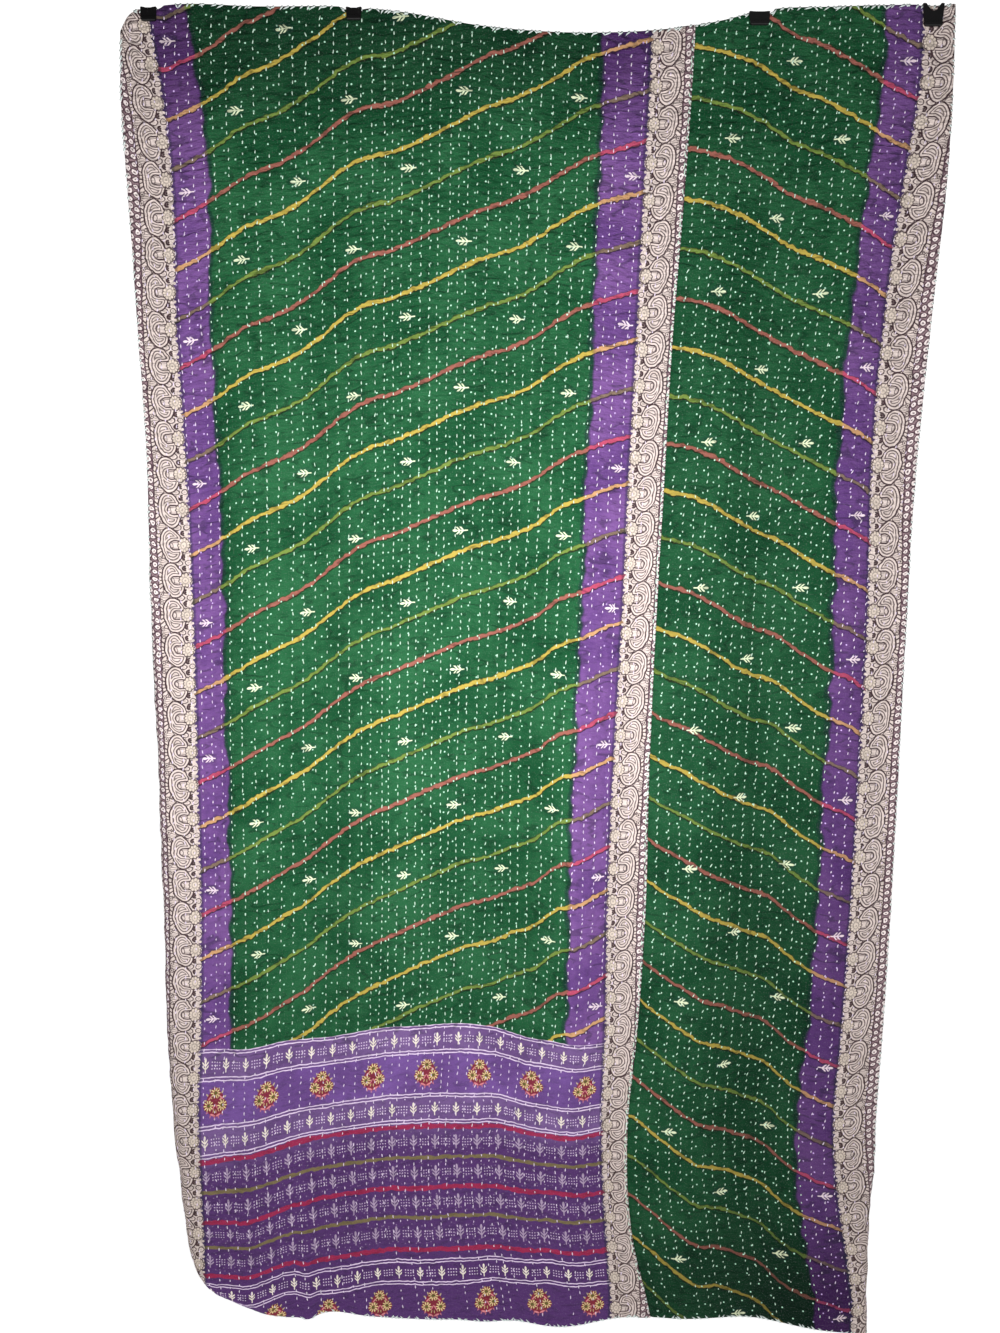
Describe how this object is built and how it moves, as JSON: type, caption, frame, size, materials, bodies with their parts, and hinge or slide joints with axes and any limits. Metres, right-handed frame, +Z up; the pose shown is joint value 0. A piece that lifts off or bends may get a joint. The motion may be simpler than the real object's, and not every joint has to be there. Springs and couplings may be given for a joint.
{
  "type": "kantha quilt on hanger clips",
  "caption": "Stitched cotton kantha quilt hung face-on from hanger clips: a wide panel lapped over a narrow panel, a sagging top edge, soft folds and rolled bottom corners.",
  "frame": {"origin": "on the line of the hanger clips, in the middle of the quilt's top edge", "axes": "+Z up, +X to the right of someone facing the quilt's front, which faces -Y"},
  "size_m": [1.3576, 0.0855, 2.3456],
  "materials": {
    "wide_panel_cotton": "several layers of soft printed cotton: bottle green ground with slanting red, mustard and olive lines, purple bands, cream scroll borders and a purple end panel, run through with white running stitch",
    "narrow_panel_cotton": "the same printed cotton turned round: bottle green ground with lines that slant the other way, a purple band and a cream scroll border, run through with white running stitch",
    "clip_plastic": "black moulded plastic with a satin face"
  },
  "bodies": {
    "root": {"quilt_panel_wide": "wide_panel_cotton", "quilt_panel_narrow": "narrow_panel_cotton", "clip_outer_left": "clip_plastic", "clip_inner_left": "clip_plastic", "clip_inner_right": "clip_plastic", "clip_outer_right": "clip_plastic"}
  },
  "joints": []
}
